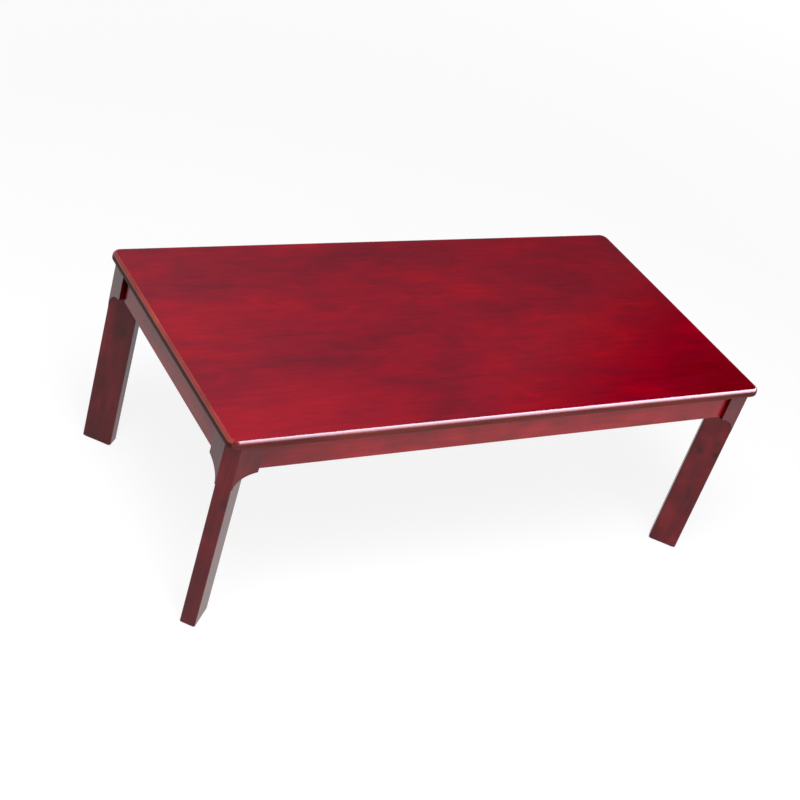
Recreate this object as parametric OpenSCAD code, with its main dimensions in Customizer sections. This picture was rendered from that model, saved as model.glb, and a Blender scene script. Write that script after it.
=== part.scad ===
// Low tea table with diagonal board legs, in millimetres.
// The origin is on the floor under the middle of the top, X runs along the table and Z is up.

/* [Top] */
// Length of the top
top_l = 1000; // [700:10:1400]
// Width of the top
top_w = 500; // [400:10:800]
// Thickness of the top
top_t = 15; // [14:1:25]
// Radius of the top's corners, seen from above
corner_r = 16; // [12:1:40]
// Radius of the upper edge's rounding
upper_round = 6; // [3:0.5:8]
// Radius of the lower edge's rounding
lower_round = 5; // [2:0.5:5]
// Height of the table over the floor
table_h = 365; // [250:5:450]

/* [Aprons] */
// Height of the aprons
apron_h = 45.5; // [40:0.5:70]
// Thickness of the aprons
apron_t = 18; // [16:1:25]
// Distance from the top's edge in to the aprons' outer faces
apron_inset = 10.5; // [8:0.5:20]
// Gap between a long apron's end and the leg's head
long_gap = 1; // [0.5:0.5:10]
// Gap between a short apron's end and the leg's head
short_gap = 8; // [0.5:0.5:20]
// Rounding of the aprons' lower edges
apron_round = 2; // [1:0.5:4]

/* [Legs] */
// Width of a leg's board, along the corner's diagonal
leg_w = 51; // [40:1:65]
// Thickness of a leg's board
leg_t = 25; // [20:1:30]
// Distance from the top's two edges in to the middle of a leg's outer face
leg_inset = 13; // [12:1:24]
// Rounding of a leg's long edges below its head
leg_round = 2.5; // [1:0.5:5]
// Radius of the cove under a leg's head
cove_r = 30; // [20:1:38]
// Blunt tip left at the lower end of the cove
cove_tip = 1.5; // [1:0.5:2]
// Thickness of the felt pad under a foot
pad_t = 2; // [1:0.5:4]
// Distance from a foot's edges in to its pad
pad_inset = 2; // [1:0.5:4]

/* [Inner frame] */
// Thickness of a corner brace, along the diagonal
brace_t = 22; // [18:1:30]
// Height of a corner brace
brace_h = 40; // [32:1:40]
// Side of the square cleats under the top
cleat_s = 18; // [16:1:22]
// Space left between a cleat and its neighbours
cleat_gap = 12; // [4:1:30]
// Thickness of the centre rail
rail_t = 20; // [16:1:30]
// Height of the centre rail
rail_h = 38; // [34:1:40]
// Diameter of the dowels in the centre rail
dowel_d = 8; // [6:1:10]
// Length of a dowel
dowel_l = 32; // [28:1:40]
// Depth of the dowel holes in the aprons
dowel_in = 12.5; // [10:0.5:13]
// Height between a pair of dowels
dowel_pitch = 20; // [16:1:22]

/* [Fasteners] */
// Diameter of the hanger bolts
bolt_d = 8; // [6:1:8]
// Depth of a hanger bolt in its leg
bolt_in = 30; // [20:1:36]
// Length of a hanger bolt past its nut
bolt_past = 5; // [2:0.5:10]
// Chamfer at the end past the nut
bolt_chamfer = 1; // [0.5:0.5:1.5]
// Width of a nut across its flats
nut_af = 13; // [13:0.5:16]
// Height of a nut
nut_h = 6.5; // [5:0.5:8]
// Diameter of a washer
washer_d = 20; // [16:1:24]
// Thickness of a washer
washer_t = 1.6; // [1:0.1:2.5]
// Diameter of the screws
screw_d = 4; // [3:0.5:4]
// Diameter of a screw's head
screw_head_d = 8; // [7:0.5:9]
// Height of a screw's head
screw_head_h = 2.6; // [2:0.1:3]
// Diameter of the blunt point of a screw or of a hanger bolt
point_d = 1; // [0.5:0.5:2]
// Depth of a screw in the piece that it holds
screw_bite = 10; // [6:0.5:11]
// Depth of wood under the heads of the brace screws
screw_seat = 5; // [4:0.5:7]
// Height between the two brace screws at one end of a brace
screw_pitch = 20; // [16:1:22]
// Distance from a cleat's end to its first screw
screw_margin = 30; // [15:1:60]
// Radial clearance of a bolt in its brace
bolt_slack = 0.5; // [0.2:0.1:1]
// Radial clearance of a bolt in its washer
washer_slack = 0.2; // [0.1:0.1:0.5]
// Radial clearance of a screw, a dowel or a bolt's wood thread in its hole
hole_slack = 0.05; // [0.05:0.05:0.2]
// Depth of a screw's hole past the screw's point
point_slack = 0.5; // [0.2:0.1:0.8]

/* [Hidden] */
$fn = 64;
// How far a cut goes past the face that it opens
over = 1;
// Each corner's name, and whether it is at the right and at the back
CORNERS = [
    ["front_left", 0, 0],
    ["front_right", 1, 0],
    ["back_left", 0, 1],
    ["back_right", 1, 1]
];
CORNER_PIECES = ["leg_board", "leg_wing_long", "leg_wing_short", "corner_brace",
    "hanger_bolt", "washer", "nut", "foot_pad"];

// Levels over the floor
under_top = table_h - top_t;
apron_z = under_top - apron_h;
tip_z = apron_z - cove_r;
brace_z = under_top - brace_h;
bolt_z = under_top - brace_h / 2;
rail_z = under_top - rail_h;

// Distances in from the top's edges, the same at every corner
apron_in = apron_inset + apron_t;
head_end = leg_inset + (leg_w + leg_t / 2) / sqrt(2);
long_end = head_end + long_gap;
short_end = head_end + short_gap;
brace_near = 2 * leg_inset + leg_w * sqrt(2) - apron_in;
brace_far = brace_near + brace_t * sqrt(2);
cleat_start = brace_far + cleat_gap;

// Where a brace's screws go along an apron that ends at e: the middle of what bears on the apron
function brace_screw_at(e) = (max(e, brace_near) + brace_far) / 2;

// Lengths of the cleats, and the number of screws in each
long_cleat_l = top_l / 2 - rail_t / 2 - cleat_gap - cleat_start;
short_cleat_l = top_w - 2 * cleat_start;
LONG_SCREWS = 3;
SHORT_SCREWS = 2;

// Places of a cleat's screws, from its end
function screw_places(l, n) =
    [for (i = [0:n - 1]) screw_margin + i * (l - 2 * screw_margin) / (n - 1)];

// Draws at corner c what is made for the front left one, where X and Y run in from the top's edges
module at_corner(c) {
    mirror([c[1], 0, 0])
        mirror([0, c[2], 0])
            translate([-top_l / 2, -top_w / 2, 0])
                children();
}

// Turns X to run in along the corner's diagonal, from the middle of the leg's outer face
module on_diagonal() {
    translate([leg_inset, leg_inset, 0])
        rotate(45)
            children();
}

module timber() {
    color("#6b1a22") children();
}

module inner_timber() {
    color("#8a5040") children();
}

module steel() {
    color("#b9bcc0") children();
}

// Half a disc that fills an edge's rounding of radius r, up to the outer side at x = reach
module edge_round(reach, y, r) {
    intersection() {
        translate([reach - r, y])
            circle(r);
        translate([reach - r, 0])
            square([r, top_t]);
    }
}

// Outline of the top's edge, with its outer side at x = reach
module edge_outline(reach) {
    polygon([
        [0, 0],
        [reach - lower_round, 0],
        [reach, lower_round],
        [reach, top_t - upper_round],
        [reach - upper_round, top_t],
        [0, top_t]
    ]);
    edge_round(reach, lower_round, lower_round);
    edge_round(reach, top_t - upper_round, upper_round);
}

// One straight side of the top, a strip as wide as the corner's radius
module top_side(l) {
    translate([-l / 2, 0, 0])
        rotate([90, 0, 90])
            linear_extrude(l)
                edge_outline(corner_r);
}

module top_blank() {
    mid_l = top_l - 2 * corner_r;
    mid_w = top_w - 2 * corner_r;
    translate([-mid_l / 2, -mid_w / 2, 0])
        cube([mid_l, mid_w, top_t]);
    for (a = [0, 180]) {
        rotate(a) {
            translate([0, mid_w / 2, 0])
                top_side(mid_l);
            translate([mid_l / 2, 0, 0])
                rotate(-90)
                    top_side(mid_w);
            translate([mid_l / 2, mid_w / 2, 0])
                rotate_extrude(angle = 90)
                    edge_outline(corner_r);
            translate([-mid_l / 2, mid_w / 2, 0])
                rotate(90)
                    rotate_extrude(angle = 90)
                        edge_outline(corner_r);
        }
    }
}

module top_panel() {
    timber()
        translate([0, 0, under_top])
            difference() {
                top_blank();
                at_top_screws()
                    cylinder(d = screw_d + 2 * hole_slack, h = 2 * (screw_bite + point_slack),
                        center = true);
            }
}

// An apron of length l along X, its outer face at y = 0
module apron_bar(l) {
    rotate([90, 0, 90])
        linear_extrude(l) {
            translate([0, apron_round])
                square([apron_t, apron_h - apron_round]);
            translate([apron_round, 0])
                square([apron_t - 2 * apron_round, apron_h]);
            for (y = [apron_round, apron_t - apron_round])
                translate([y, apron_round])
                    circle(apron_round);
        }
}

module long_apron() {
    timber()
        difference() {
            translate([long_end - top_l / 2, apron_inset - top_w / 2, apron_z])
                apron_bar(top_l - 2 * long_end);
            for (c = [CORNERS[0], CORNERS[1]])
                at_corner(c)
                    long_brace_holes();
            dowel_holes();
        }
}

module apron_front() {
    long_apron();
}

module apron_back() {
    mirror([0, 1, 0])
        long_apron();
}

module apron_left() {
    timber()
        difference() {
            translate([apron_inset - top_l / 2, top_w / 2 - short_end, apron_z])
                rotate(-90)
                    apron_bar(top_w - 2 * short_end);
            for (c = [CORNERS[0], CORNERS[2]])
                at_corner(c)
                    short_brace_holes();
        }
}

module apron_right() {
    mirror([1, 0, 0])
        apron_left();
}

// The rail's front dowels, or their holes with slack around them and at their ends
module dowel_pair(slack) {
    face = apron_in - top_w / 2;
    for (s = [-1, 1])
        translate([0, face - dowel_in - slack, rail_z + rail_h / 2 + s * dowel_pitch / 2])
            rotate([-90, 0, 0])
                cylinder(d = dowel_d + 2 * slack, h = dowel_l + 2 * slack);
}

module dowel_holes() {
    dowel_pair(hole_slack);
}

module centre_rail() {
    inner_timber()
        difference() {
            translate([-rail_t / 2, apron_in - top_w / 2, rail_z])
                cube([rail_t, top_w - 2 * apron_in, rail_h]);
            dowel_holes();
            mirror([0, 1, 0])
                dowel_holes();
        }
}

module rail_dowels() {
    color("#c9a26b") {
        dowel_pair(0);
        mirror([0, 1, 0])
            dowel_pair(0);
    }
}

// A cleat of length l along X, its outer side at y = 0, with n screw holes
module cleat(l, n) {
    inner_timber()
        difference() {
            translate([0, 0, under_top - cleat_s])
                cube([l, cleat_s, cleat_s]);
            for (x = screw_places(l, n))
                translate([x, cleat_s / 2, under_top - cleat_s])
                    screw_cut(cleat_s);
        }
}

// A cleat on a long apron, at the front left corner
module long_cleat() {
    translate([cleat_start, apron_in, 0])
        cleat(long_cleat_l, LONG_SCREWS);
}

module cleat_left() {
    translate([apron_in - top_l / 2, short_cleat_l / 2, 0])
        rotate(-90)
            cleat(short_cleat_l, SHORT_SCREWS);
}

module cleat_right() {
    mirror([1, 0, 0])
        cleat_left();
}

// Puts its children on the axis of every screw in the top
module at_top_screws() {
    for (c = CORNERS, x = screw_places(long_cleat_l, LONG_SCREWS))
        at_corner(c)
            translate([cleat_start + x, apron_in + cleat_s / 2, 0])
                children();
    for (s = [-1, 1], x = screw_places(short_cleat_l, SHORT_SCREWS))
        translate([s * (top_l / 2 - apron_in - cleat_s / 2), x - short_cleat_l / 2, 0])
            children();
}

// A countersunk screw that stands on its head, through wood of depth t
module screw(t) {
    taper = screw_d / 2;
    cylinder(d1 = screw_head_d, d2 = screw_d, h = screw_head_h);
    cylinder(d = screw_d, h = t + screw_bite - taper);
    translate([0, 0, t + screw_bite - taper])
        cylinder(d1 = screw_d, d2 = point_d, h = taper);
}

// The hole that the screw needs in wood of depth t
module screw_cut(t) {
    translate([0, 0, -over])
        cylinder(d = screw_head_d + 2 * hole_slack, h = over);
    cylinder(d1 = screw_head_d + 2 * hole_slack, d2 = screw_d + 2 * hole_slack,
        h = screw_head_h + hole_slack);
    cylinder(d = screw_d + 2 * hole_slack, h = t + over);
}

module top_screws() {
    steel()
        translate([0, 0, under_top - cleat_s])
            at_top_screws()
                screw(cleat_s);
}

// Outline of a leg's board with rounded long edges
module board_outline(inset, r) {
    l = leg_w - 2 * inset;
    w = leg_t - 2 * inset;
    translate([inset, -w / 2]) {
        translate([r, 0])
            square([l - 2 * r, w]);
        translate([0, r])
            square([l, w - 2 * r]);
        for (x = [r, l - r], y = [r, w - r])
            translate([x, y])
                circle(r);
    }
}

module leg_board() {
    timber()
        on_diagonal()
            difference() {
                union() {
                    translate([0, 0, pad_t])
                        linear_extrude(tip_z - pad_t)
                            board_outline(0, leg_round);
                    translate([0, -leg_t / 2, tip_z])
                        cube([leg_w, leg_t, under_top - tip_z]);
                }
                translate([leg_w - bolt_in - point_slack, 0, bolt_z])
                    rotate([0, 90, 0])
                        cylinder(d = bolt_d + 2 * hole_slack, h = bolt_in + point_slack + over);
            }
}

// Side view of a wing along its board: the cove runs from the apron's level down to the blunt tip
module wing_side() {
    translate([0, apron_z])
        square([leg_w, apron_h]);
    difference() {
        translate([0, tip_z])
            square([cove_r + cove_tip, cove_r]);
        translate([cove_r + cove_tip, tip_z])
            circle(cove_r, $fn = 96);
    }
}

// The wing on the side of a leg's board that faces the table's short side
module leg_wing() {
    timber()
        on_diagonal()
            intersection() {
                translate([0, 0, tip_z])
                    linear_extrude(under_top - tip_z)
                        polygon([
                            [0, leg_t / 2],
                            [leg_w, leg_t / 2],
                            [leg_w / 2, (leg_t + leg_w) / 2]
                        ]);
                translate([0, leg_t + leg_w, 0])
                    rotate([90, 0, 0])
                        linear_extrude(leg_t + leg_w)
                            wing_side();
            }
}

module leg_wing_short() {
    leg_wing();
}

// The same wing on the board's other side
module leg_wing_long() {
    swap_sides()
        leg_wing();
}

// The block across the corner, against the leg's inner face and both aprons
module corner_brace() {
    inner_timber()
        difference() {
            translate([0, 0, brace_z])
                linear_extrude(brace_h)
                    polygon([
                        [brace_near, apron_in],
                        [brace_far, apron_in],
                        [apron_in, brace_far],
                        [apron_in, brace_near]
                    ]);
            on_diagonal()
                translate([leg_w - over, 0, bolt_z])
                    rotate([0, 90, 0])
                        cylinder(r = bolt_d / 2 + bolt_slack, h = brace_t + 2 * over);
            long_brace_holes();
            short_brace_holes();
        }
}

// Puts its children on the two screws that hold a brace to an apron along X, which ends at e.
// Z then runs from the screw's head out through the apron.
module at_brace_screws(e) {
    for (s = [-1, 1])
        translate([brace_screw_at(e), apron_in + screw_seat + screw_head_h, bolt_z + s * screw_pitch / 2])
            rotate([90, 0, 0])
                children();
}

// Swaps X and Y, which turns a corner's long side into its short side
module swap_sides() {
    mirror([1, -1, 0])
        children();
}

// The hole for a brace screw: its well, its seat and its pilot in the apron
module brace_screw_cut() {
    depth = screw_seat + screw_head_h;
    translate([0, 0, -brace_t])
        cylinder(d = screw_head_d + 2 * hole_slack, h = brace_t);
    cylinder(d1 = screw_head_d + 2 * hole_slack, d2 = screw_d + 2 * hole_slack,
        h = screw_head_h + hole_slack);
    cylinder(d = screw_d + 2 * hole_slack, h = depth + screw_bite + point_slack);
}

module long_brace_holes() {
    at_brace_screws(long_end)
        brace_screw_cut();
}

module short_brace_holes() {
    swap_sides()
        at_brace_screws(short_end)
            brace_screw_cut();
}

module brace_screws() {
    depth = screw_seat + screw_head_h;
    steel()
        for (c = CORNERS)
            at_corner(c) {
                at_brace_screws(long_end)
                    screw(depth);
                swap_sides()
                    at_brace_screws(short_end)
                        screw(depth);
            }
}

// A pointed end in the leg's wood, a chamfered end past the nut
module hanger_bolt() {
    l = bolt_in + brace_t + washer_t + nut_h + bolt_past;
    r = bolt_d / 2;
    c = bolt_chamfer;
    steel()
        on_diagonal()
            translate([leg_w - bolt_in, 0, bolt_z])
                rotate([0, 90, 0])
                    rotate_extrude()
                        polygon([[0, 0], [point_d / 2, 0], [r, bolt_d], [r, l - c], [r - c, l], [0, l]]);
}

module washer() {
    steel()
        on_diagonal()
            translate([leg_w + brace_t, 0, bolt_z])
                rotate([0, 90, 0])
                    difference() {
                        cylinder(d = washer_d, h = washer_t);
                        translate([0, 0, -over])
                            cylinder(r = bolt_d / 2 + washer_slack, h = washer_t + 2 * over);
                    }
}

// A hexagon with its six corners bevelled at both ends by a cone
module nut() {
    corner = nut_af / sqrt(3);
    wide = corner + over;
    bevel = (wide - nut_af / 2) / sqrt(3);
    steel()
        on_diagonal()
            translate([leg_w + brace_t + washer_t, 0, bolt_z])
                rotate([0, 90, 0])
                    difference() {
                        intersection() {
                            cylinder(r = corner, h = nut_h, $fn = 6);
                            rotate_extrude()
                                polygon([[0, 0], [nut_af / 2, 0], [wide, bevel],
                                    [wide, nut_h - bevel], [nut_af / 2, nut_h], [0, nut_h]]);
                        }
                        translate([0, 0, -over])
                            cylinder(r = bolt_d / 2 + hole_slack, h = nut_h + 2 * over);
                    }
}

module foot_pad() {
    color("#3a3032")
        on_diagonal()
            linear_extrude(pad_t)
                board_outline(pad_inset, leg_round);
}

top_panel();
apron_front();
apron_back();
apron_left();
apron_right();
centre_rail();
rail_dowels();
cleat_left();
cleat_right();
top_screws();
brace_screws();
for (c = CORNERS) {
    at_corner(c) long_cleat();
    at_corner(c) leg_board();
    at_corner(c) leg_wing_long();
    at_corner(c) leg_wing_short();
    at_corner(c) corner_brace();
    at_corner(c) hanger_bolt();
    at_corner(c) washer();
    at_corner(c) nut();
    at_corner(c) foot_pad();
}
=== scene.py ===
# %% [markdown]
# # A lacquered tea table
# The table is a low one, 1000 mm long and 500 mm wide. A veneered board with a rounded edge lies
# on a frame of four aprons, and a flat leg stands on the diagonal of each corner. Each leg's head
# is made wide by two coved wings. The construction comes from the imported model, where each piece
# has its place and size. This lesson gives each piece the surface and the finish that one sees.

# %% Load the frame
import math

import bpy
import numpy as np
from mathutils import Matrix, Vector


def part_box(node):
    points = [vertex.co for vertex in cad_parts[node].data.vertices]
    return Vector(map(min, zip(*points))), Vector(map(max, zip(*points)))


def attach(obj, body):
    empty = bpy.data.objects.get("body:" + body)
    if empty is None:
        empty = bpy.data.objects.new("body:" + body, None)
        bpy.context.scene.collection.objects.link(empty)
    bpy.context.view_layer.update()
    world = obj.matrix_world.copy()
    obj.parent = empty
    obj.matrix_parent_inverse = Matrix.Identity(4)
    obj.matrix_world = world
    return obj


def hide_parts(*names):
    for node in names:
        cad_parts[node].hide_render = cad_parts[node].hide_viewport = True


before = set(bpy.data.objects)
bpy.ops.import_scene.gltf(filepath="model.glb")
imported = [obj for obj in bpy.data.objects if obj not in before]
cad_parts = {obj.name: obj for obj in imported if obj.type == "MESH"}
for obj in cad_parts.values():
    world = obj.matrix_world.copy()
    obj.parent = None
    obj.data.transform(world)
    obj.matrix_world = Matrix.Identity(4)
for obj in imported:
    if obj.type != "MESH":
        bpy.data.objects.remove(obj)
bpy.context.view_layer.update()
MM = 0.001
CORNERS = {
    "front_left": (-1, -1),
    "front_right": (1, -1),
    "back_left": (-1, 1),
    "back_right": (1, 1),
}

# %% [markdown]
# # The camera
# The picture was taken by someone who stood at the table's front left and held the camera rolled to
# one side, so that the long side runs nearly level. The eye, the point that the lens is aimed at and
# the roll say this in plain terms, and the lens is one for a full-frame sensor 36 mm wide.

# %% Place the camera
EYE = np.array([-1.4161, -1.7301, 1.6648])
AIM = np.array([-0.1935, -0.1880, 0.3650])
ROLL = math.radians(18.39)
LENS_MM = 70.5
SENSOR_MM = 36


def unit(v):
    """The vector divided by its length."""
    return v / np.linalg.norm(v)


def stand(thing, x, y, z, place):
    """Set an object at a place, with its own X, Y and Z along three directions of the room."""
    thing.matrix_world = [[*x, 0], [*y, 0], [*z, 0], [*place, 1]]


forward = unit(AIM - EYE)
level_right = unit(np.cross(forward, [0, 0, 1]))
level_up = np.cross(level_right, forward)
right = math.cos(ROLL) * level_right + math.sin(ROLL) * level_up
up = np.cross(right, forward)
camera = bpy.data.objects.new("camera", bpy.data.cameras.new("camera"))
bpy.context.scene.collection.objects.link(camera)
stand(camera, right, up, -forward, EYE)
camera.data.lens = LENS_MM
camera.data.sensor_width = SENSOR_MM
bpy.context.scene.camera = camera
bpy.context.scene.view_settings.view_transform = "Standard"
print("camera", round(float(np.linalg.norm(AIM - EYE)), 3), "m from the top, lens", LENS_MM, "mm")

# %% [markdown]
# # Helpers for materials
# Colours are written as sRGB hex, as a paint card gives them. Shaders work with linear light, so one
# function turns the one into the other. One more function adds a node, sets its own properties and
# joins its sockets. The functions after it are short forms of the nodes that come up most, which
# keeps each material short enough to read from top to bottom.

# %% Colour and node helpers
def linear(code):
    """sRGB hex to linear RGBA: c / 12.92 below 0.04045, and ((c + 0.055) / 1.055) ** 2.4 above."""
    c = np.array([int(code[i:i + 2], 16) for i in (1, 3, 5)]) / 255
    c = np.where(c <= 0.04045, c / 12.92, ((c + 0.055) / 1.055) ** 2.4)
    return (*c.tolist(), 1.0)


def add(tree, kind, feeds=None, **settings):
    """One node. Settings are its own properties. Feeds maps a socket to a value or to an output."""
    made = tree.nodes.new("ShaderNode" + kind)
    for name, value in settings.items():
        setattr(made, name, value)
    for socket, value in (feeds or {}).items():
        if isinstance(value, bpy.types.NodeSocket):
            tree.links.new(value, made.inputs[socket])
        else:
            made.inputs[socket].default_value = value
    return made


def new_material(name):
    """An empty node material, its tree, and the Object coordinates that its pattern follows."""
    made = bpy.data.materials.new(name)
    made.use_nodes = True
    made.node_tree.nodes.clear()
    return made, made.node_tree, add(made.node_tree, "TexCoord").outputs["Object"]


def number_math(tree, operation, *values):
    """One step of arithmetic on numbers."""
    return add(tree, "Math", dict(enumerate(values)), operation=operation).outputs[0]


def vector_math(tree, operation, *values):
    """One step of arithmetic on places. A length or a dot product comes out as a number."""
    made = add(tree, "VectorMath", dict(enumerate(values)), operation=operation)
    return made.outputs["Value" if operation in ("LENGTH", "DOT_PRODUCT") else "Vector"]


def rescale(tree, value, start, stop, first, last, kind="SMOOTHSTEP"):
    """first up to where value is start, last from where it is stop, and a smooth step between."""
    return add(tree, "MapRange", {"Value": value, "From Min": start, "From Max": stop,
                                  "To Min": first, "To Max": last}, interpolation_type=kind).outputs[0]


def relief(tree, height, strength, depth):
    """A bumped normal that stands for relief of that depth, in metres."""
    return add(tree, "Bump", {"Strength": strength, "Distance": depth, "Height": height}).outputs[0]


def grey(level):
    """A grey of one level in linear light."""
    return (level, level, level, 1.0)


def ramp(tree, value, *stops):
    """A ramp over value. A stop is a place with a hex colour, or with a level where the ramp carries
    a number."""
    made = add(tree, "ValToRGB", {"Fac": value})
    while len(made.color_ramp.elements) < len(stops):
        made.color_ramp.elements.new(0.5)
    for element, (place, tone) in zip(made.color_ramp.elements, stops):
        element.position = place
        element.color = linear(tone) if isinstance(tone, str) else grey(tone)
    return made.outputs["Color"]


print("crimson in linear light:", [round(v, 4) for v in linear("#8A1024")])

# %% [markdown]
# # Floor and light
# A pale floor carries the table and its soft shadow. To the lens and in reflections the floor and
# the world look white. To the wood they give only a weak light, because white paper right round a
# dark lacquered piece would wash it out. One soft box high at the front does most of the lighting.

# %% Floor and world
def seen_directly(tree):
    """1 for rays from the lens, from a mirror-like surface or through glass, and 0 for the others."""
    ray = add(tree, "LightPath").outputs
    some = number_math(tree, "MAXIMUM", ray["Is Camera Ray"], ray["Is Glossy Ray"])
    return number_math(tree, "MAXIMUM", some, ray["Is Transmission Ray"])


FLOOR_SIDE = 50.0
FLOOR_GLOW = 0.85
GLOW_NEAR, GLOW_FAR = 1.5, 5.0
SHADOW_KEPT = 0.24


def floor_paper():
    """Seamless paper: most of its white is its own to the lens, all of it from GLOW_FAR on, and a
    matt share shows the shadow."""
    made, tree, place = new_material("seamless_paper")
    bounce = add(tree, "BsdfDiffuse", {"Color": linear("#A8A8A8")})
    matt = add(tree, "BsdfDiffuse", {"Color": grey(SHADOW_KEPT)})
    away = vector_math(tree, "LENGTH", place)
    strength = rescale(tree, away, GLOW_NEAR, GLOW_FAR, FLOOR_GLOW, 1.0, "LINEAR")
    glow = add(tree, "Emission", {"Color": grey(1.0), "Strength": strength})
    shown = add(tree, "AddShader", {0: glow.outputs[0], 1: matt.outputs[0]})
    mixed = add(tree, "MixShader", {0: seen_directly(tree), 1: bounce.outputs[0], 2: shown.outputs[0]})
    add(tree, "OutputMaterial", {"Surface": mixed.outputs[0]})
    return made


def put_mesh(name, points, faces, materials):
    """A mesh object at the origin, from an array of points in metres and lists of vertex numbers."""
    mesh = bpy.data.meshes.new(name)
    mesh.from_pydata(np.asarray(points).reshape(-1, 3).tolist(), [], faces)
    for one in materials:
        mesh.materials.append(one)
    mesh.update()
    made = bpy.data.objects.new(name, mesh)
    bpy.context.scene.collection.objects.link(made)
    return made


def sheet_at(centre, along, across, faces_to):
    """Four corners of a flat sheet round centre, along by across in size, that faces a direction."""
    n = unit(np.asarray(faces_to, float))
    u = unit(np.cross([0, 0, 1], n)) if abs(n[2]) < 0.99 else np.array([1.0, 0, 0])
    v = np.cross(n, u)
    corners = [(-1, -1), (1, -1), (1, 1), (-1, 1)]
    return np.array([np.asarray(centre) + a * u * along / 2 + b * v * across / 2 for a, b in corners])


floor = put_mesh("floor", sheet_at((0, 0, 0), FLOOR_SIDE, FLOOR_SIDE, (0, 0, 1)), [[0, 1, 2, 3]],
                 [floor_paper()])

WORLD_FILL = 0.18
world = bpy.data.worlds.new("studio")
bpy.context.scene.world = world
world.use_nodes = True
air = world.node_tree
air.nodes.clear()
dim = add(air, "Background", {"Color": grey(1.0), "Strength": WORLD_FILL})
white = add(air, "Background", {"Color": grey(1.0), "Strength": 1.0})
sky = add(air, "MixShader", {0: seen_directly(air), 1: dim.outputs[0], 2: white.outputs[0]})
add(air, "OutputWorld", {"Surface": sky.outputs[0]})
print("floor", FLOOR_SIDE, "m wide, world fill", WORLD_FILL)

# %% [markdown]
# # Lamps
# An area lamp is set here by its radiance, which is how bright its face looks, and not by its power.
# The power follows from it: radiance times pi times the area. The key lamp is a soft box high up at
# the front left, and a weaker one stands low in front of the table for the upright faces.

# %% Lamps
LAMP_AIM = np.array([0, -0.1, 0.36])


def soft_box(name, place, size, radiance, colour):
    """An area lamp at place that faces LAMP_AIM. Its power is radiance times pi times its area."""
    data = bpy.data.lights.new(name, "AREA")
    data.shape = "RECTANGLE"
    data.size, data.size_y = size
    data.energy = radiance * math.pi * size[0] * size[1]
    data.color = linear(colour)[:3]
    made = bpy.data.objects.new(name, data)
    bpy.context.scene.collection.objects.link(made)
    back = unit(place - LAMP_AIM)
    side = unit(np.cross([0, 0, 1], back))
    stand(made, side, np.cross(back, side), back, place)
    made.visible_camera = False
    made.visible_glossy = False


soft_box("key", place=(-0.8, -0.9, 2.6), size=(1.4, 1.4), radiance=8.1, colour="#FFFAFF")
soft_box("front_fill", place=(-0.2, -2.6, 1.3), size=(2.0, 1.4), radiance=2.7, colour="#FFFFFF")
print("two soft boxes")

# %% [markdown]
# # Cards for the lacquer
# A polished table is a mirror for whatever hangs over it. A photographer hangs a grey card there,
# which keeps the red deep, and lets it end in the dark on one side, which shows as a deeper red at
# the table's near right corner. A bright card on the right runs along the rounded front edge as the
# one bright line of the picture. The cards are seen in reflections only, and give no light.

# %% Cards
def card(name, points, colour, *fades):
    """A card that only reflections show. Each fade gives its glow a ramp over the distance along a
    direction of the room, in metres, and the card's strength is the product of its fades."""
    made, tree, place = new_material(name)
    strength = 1.0
    for along, start, stop, *stops in fades:
        way = vector_math(tree, "DOT_PRODUCT", place, along)
        share = rescale(tree, way, start, stop, 0.0, 1.0, "LINEAR")
        strength = number_math(tree, "MULTIPLY", ramp(tree, share, *stops), strength)
    glow = add(tree, "Emission", {"Color": linear(colour), "Strength": strength})
    add(tree, "OutputMaterial", {"Surface": glow.outputs[0]})
    piece = put_mesh(name, points, [[3, 2, 1, 0]], [made])
    piece.visible_camera = False
    piece.visible_diffuse = False
    piece.visible_transmission = False
    piece.visible_shadow = False


# the bright card grows brighter towards the back, and the grey one darker towards the right
BRIGHT_CARD = sheet_at((1.89, -1.61, 2.62), 5.7, 3.4, (-0.62, 0.098, -0.778))
BRIGHT_FADE = ((0, 1, 0), -5.0, 0.0, (0.08, 0.7), (0.28, 4.4), (0.58, 6.6), (0.80, 10.5), (0.94, 15.0))
GREY_CARD = sheet_at((0, 0, 4.2), 40, 40, (0, 0, 1))
GREY_FADE = ((1, 0, 0), 2.3, 5.6, (0.0, 0.38), (0.35, 0.24), (1.0, 0.13))
# where the grey card ends: a line that runs slantwise across it, with the dark in front
GREY_SLANT = math.radians(34)
GREY_END = ((math.sin(GREY_SLANT), -math.cos(GREY_SLANT), 0), -1.3, -0.65, (0.0, 1.0), (1.0, 0.0))
card("bright_card", BRIGHT_CARD, "#F6ECFF", BRIGHT_FADE)
card("grey_card", GREY_CARD, "#E6E6F6", GREY_FADE, GREY_END)
print("two cards")

# %% [markdown]
# # Sizes
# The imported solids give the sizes, so that nothing is fitted by eye. Roundings and thicknesses,
# which a box doesn't tell, have the same values as in the construction.

# %% Sizes from the frame
def box_of(node):
    """A node's lowest and highest corner as one array of two rows, in metres."""
    return np.array([tuple(corner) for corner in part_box(node)])


TOP = box_of("top_panel")
TOP_Z = TOP[:, 2]
HALF_L, HALF_W = TOP[1, 0], TOP[1, 1]
CORNER_R = 16 * MM
UPPER_ROUND = 6 * MM
LOWER_ROUND = 5 * MM
LEG_T = 25 * MM
LEG_BOX = box_of("leg_board_front_left")
LEG_W = (LEG_BOX[1, 0] - LEG_BOX[0, 0]) * math.sqrt(2) - LEG_T
LEG_IN = LEG_BOX[0, 0] + HALF_L + LEG_T / 2 / math.sqrt(2)
FOOT_Z, UNDER_TOP = LEG_BOX[:, 2]
TIP_Z = box_of("leg_wing_long_front_left")[0, 2]
print("top", 2 * HALF_L, 2 * HALF_W, "leg board", round(LEG_W, 4), LEG_T, "tip at",
      round(float(TIP_Z), 4))

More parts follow.
